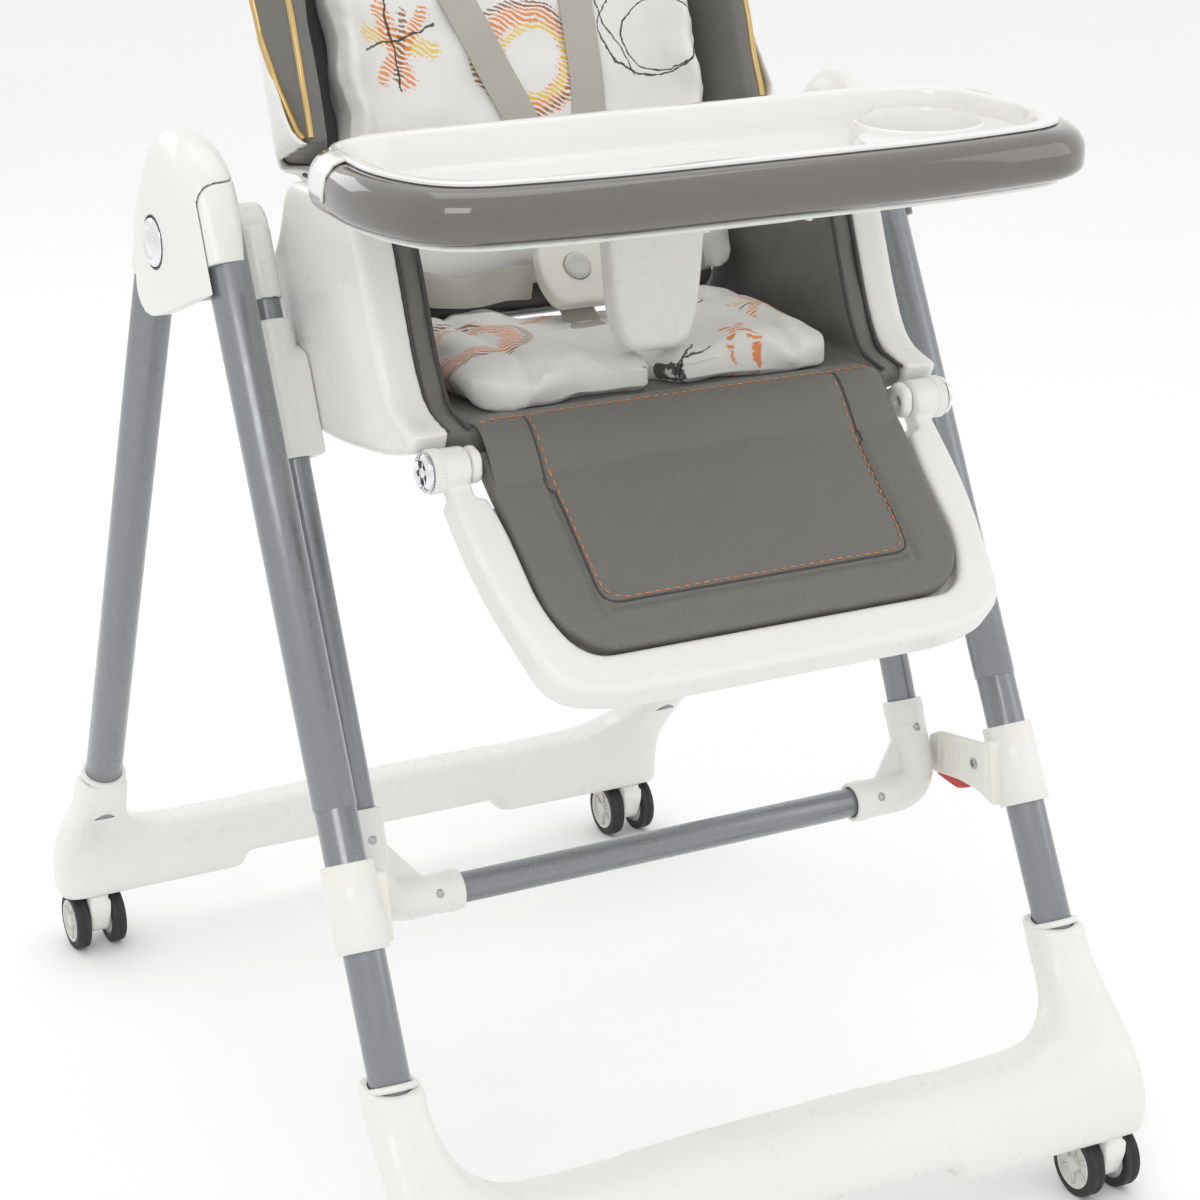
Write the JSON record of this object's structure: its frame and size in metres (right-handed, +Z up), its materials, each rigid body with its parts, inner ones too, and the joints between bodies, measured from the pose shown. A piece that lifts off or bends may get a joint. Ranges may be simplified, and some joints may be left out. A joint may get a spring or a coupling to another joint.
{
  "type": "baby high chair",
  "caption": "Folding baby high chair on twin-wheel casters with a height-sliding padded seat, reclining backrest, tilting footrest and a sliding tray with a lift-off liner.",
  "frame": {"origin": "on the floor, under the centre of the object's bounding box", "axes": "+X to the right as seen from the front, the chair faces -Y, +Z up"},
  "size_m": [0.5876, 0.7986, 1.0636],
  "materials": {
    "tube": "satin grey lacquered steel tube",
    "white_plastic": "warm white moulded plastic, soft gloss",
    "wheel": "black rubber tyre on a pale plastic disc",
    "chrome": "bright chrome plated plastic",
    "red_plastic": "red moulded plastic",
    "leatherette": "warm grey leatherette with copper stitching and gold piping",
    "liner_fabric": "padded white cotton with loose pen and brush strokes",
    "webbing": "grey beige harness webbing",
    "grey_plastic": "warm grey moulded plastic",
    "tray_grey": "glossy warm grey plastic",
    "tray_white": "glossy white plastic"
  },
  "bodies": {
    "front_frame": {"front_leg_upper_left": "tube", "front_leg_upper_right": "tube", "front_leg_lower_left": "tube", "front_leg_lower_right": "tube", "front_base": "white_plastic", "hub_front_cup_left": "white_plastic", "hub_front_cup_right": "white_plastic", "guide_tube_left": "tube", "guide_tube_right": "tube", "elbow_left": "white_plastic", "elbow_right": "white_plastic", "cross_tube": "tube", "guide_bracket_left": "white_plastic", "guide_bracket_right": "white_plastic", "collar_left": "white_plastic", "collar_right": "white_plastic"},
    "rear_frame": {"rear_leg_left": "tube", "rear_leg_right": "tube", "rear_base": "white_plastic", "hub_housing_left": "white_plastic", "hub_housing_right": "white_plastic"},
    "fold_button_left": {"fold_button_left": "chrome"},
    "lock_lever_left": {"lock_lever_left": "red_plastic"},
    "fold_button_right": {"fold_button_right": "chrome"},
    "lock_lever_right": {"lock_lever_right": "red_plastic"},
    "caster_front_left": {"caster_body_front_left": "white_plastic"},
    "caster_front_left_wheels": {"caster_wheels_front_left": "wheel"},
    "caster_front_right": {"caster_body_front_right": "white_plastic"},
    "caster_front_right_wheels": {"caster_wheels_front_right": "wheel"},
    "caster_rear_left": {"caster_body_rear_left": "white_plastic"},
    "caster_rear_left_wheels": {"caster_wheels_rear_left": "wheel"},
    "caster_rear_right": {"caster_body_rear_right": "white_plastic"},
    "caster_rear_right_wheels": {"caster_wheels_rear_right": "wheel"},
    "seat": {"seat_shell": "white_plastic", "seat_cover": "leatherette", "seat_cushion": "liner_fabric", "slider_left": "white_plastic", "slider_right": "white_plastic", "buckle": "grey_plastic", "crotch_strap": "webbing", "waist_strap_left": "webbing", "waist_strap_right": "webbing"},
    "height_button_left": {"height_button_left": "grey_plastic"},
    "height_button_right": {"height_button_right": "grey_plastic"},
    "buckle_button": {"buckle_button": "grey_plastic"},
    "backrest": {"backrest_shell": "white_plastic", "backrest_cover": "leatherette", "backrest_cushion": "liner_fabric", "shoulder_strap_left": "webbing", "shoulder_strap_right": "webbing"},
    "recline_handle": {"recline_handle": "grey_plastic"},
    "footrest": {"footrest_frame": "white_plastic", "footrest_pad": "leatherette", "footrest_pivot_left": "chrome", "footrest_pivot_right": "chrome"},
    "tray": {"tray_base": "white_plastic", "tray_rim": "tray_grey"},
    "tray_liner": {"tray_liner": "tray_white"},
    "tray_release": {"tray_release": "grey_plastic"}
  },
  "joints": [
    {"name": "fold", "type": "hinge", "parent": "front_frame", "child": "rear_frame", "pos_m": [0, 0.03, 0.69], "axis": [-1, 0, 0], "range_deg": [0, 45]},
    {"name": "fold_button_left_press", "type": "slide", "parent": "rear_frame", "child": "fold_button_left", "axis": [1, 0, 0], "range_m": [0, 0.002], "stiffness_N_per_m": 600},
    {"name": "lock_lever_left_pull", "type": "hinge", "parent": "front_frame", "child": "lock_lever_left", "pos_m": [-0.2486, -0.205, 0.2675], "axis": [-1, 0, 0], "range_deg": [0, 15], "stiffness_Nm_per_rad": 0.3},
    {"name": "fold_button_right_press", "type": "slide", "parent": "rear_frame", "child": "fold_button_right", "axis": [-1, 0, 0], "range_m": [0, 0.002], "stiffness_N_per_m": 600},
    {"name": "lock_lever_right_pull", "type": "hinge", "parent": "front_frame", "child": "lock_lever_right", "pos_m": [0.2486, -0.205, 0.2675], "axis": [-1, 0, 0], "range_deg": [0, 15], "stiffness_Nm_per_rad": 0.3},
    {"name": "caster_front_left_swivel", "type": "hinge", "parent": "front_frame", "child": "caster_front_left", "pos_m": [-0.2605, -0.386, 0.052], "axis": [0, 0, 1], "continuous": true},
    {"name": "caster_front_left_roll", "type": "hinge", "parent": "caster_front_left", "child": "caster_front_left_wheels", "pos_m": [-0.2605, -0.372, 0.025], "axis": [1, 0, 0], "continuous": true},
    {"name": "caster_front_right_swivel", "type": "hinge", "parent": "front_frame", "child": "caster_front_right", "pos_m": [0.2605, -0.386, 0.052], "axis": [0, 0, 1], "continuous": true},
    {"name": "caster_front_right_roll", "type": "hinge", "parent": "caster_front_right", "child": "caster_front_right_wheels", "pos_m": [0.2605, -0.372, 0.025], "axis": [1, 0, 0], "continuous": true},
    {"name": "caster_rear_left_swivel", "type": "hinge", "parent": "rear_frame", "child": "caster_rear_left", "pos_m": [-0.2605, 0.358, 0.052], "axis": [0, 0, 1], "continuous": true},
    {"name": "caster_rear_left_roll", "type": "hinge", "parent": "caster_rear_left", "child": "caster_rear_left_wheels", "pos_m": [-0.2605, 0.372, 0.025], "axis": [1, 0, 0], "continuous": true},
    {"name": "caster_rear_right_swivel", "type": "hinge", "parent": "rear_frame", "child": "caster_rear_right", "pos_m": [0.2605, 0.358, 0.052], "axis": [0, 0, 1], "continuous": true},
    {"name": "caster_rear_right_roll", "type": "hinge", "parent": "caster_rear_right", "child": "caster_rear_right_wheels", "pos_m": [0.2605, 0.372, 0.025], "axis": [1, 0, 0], "continuous": true},
    {"name": "seat_height", "type": "slide", "parent": "front_frame", "child": "seat", "axis": [0, 0.3955, 0.9184], "range_m": [-0.2, 0]},
    {"name": "height_button_left_lift", "type": "slide", "parent": "seat", "child": "height_button_left", "axis": [0, 0.3955, 0.9184], "range_m": [0, 0.005], "stiffness_N_per_m": 400},
    {"name": "height_button_right_lift", "type": "slide", "parent": "seat", "child": "height_button_right", "axis": [0, 0.3955, 0.9184], "range_m": [0, 0.005], "stiffness_N_per_m": 400},
    {"name": "buckle_button_press", "type": "slide", "parent": "seat", "child": "buckle_button", "axis": [0, 0.788, -0.6157], "range_m": [0, 0.002], "stiffness_N_per_m": 500},
    {"name": "backrest_recline", "type": "hinge", "parent": "seat", "child": "backrest", "pos_m": [0, 0.05, 0.625], "axis": [-1, 0, 0], "range_deg": [0, 35]},
    {"name": "recline_handle_squeeze", "type": "slide", "parent": "backrest", "child": "recline_handle", "axis": [0, 0.342, 0.9397], "range_m": [0, 0.008], "stiffness_N_per_m": 400},
    {"name": "footrest_tilt", "type": "hinge", "parent": "seat", "child": "footrest", "pos_m": [0, -0.222, 0.577], "axis": [1, 0, 0], "range_deg": [-40, 38]},
    {"name": "tray_slide", "type": "slide", "parent": "seat", "child": "tray", "axis": [0, 1, 0], "range_m": [-0.03, 0.06]},
    {"name": "tray_liner_lift", "type": "slide", "parent": "tray", "child": "tray_liner", "axis": [0, 0, 1], "range_m": [0, 0.06]},
    {"name": "tray_release_pull", "type": "slide", "parent": "tray", "child": "tray_release", "axis": [0, -1, 0], "range_m": [0, 0.006], "stiffness_N_per_m": 400}
  ]
}
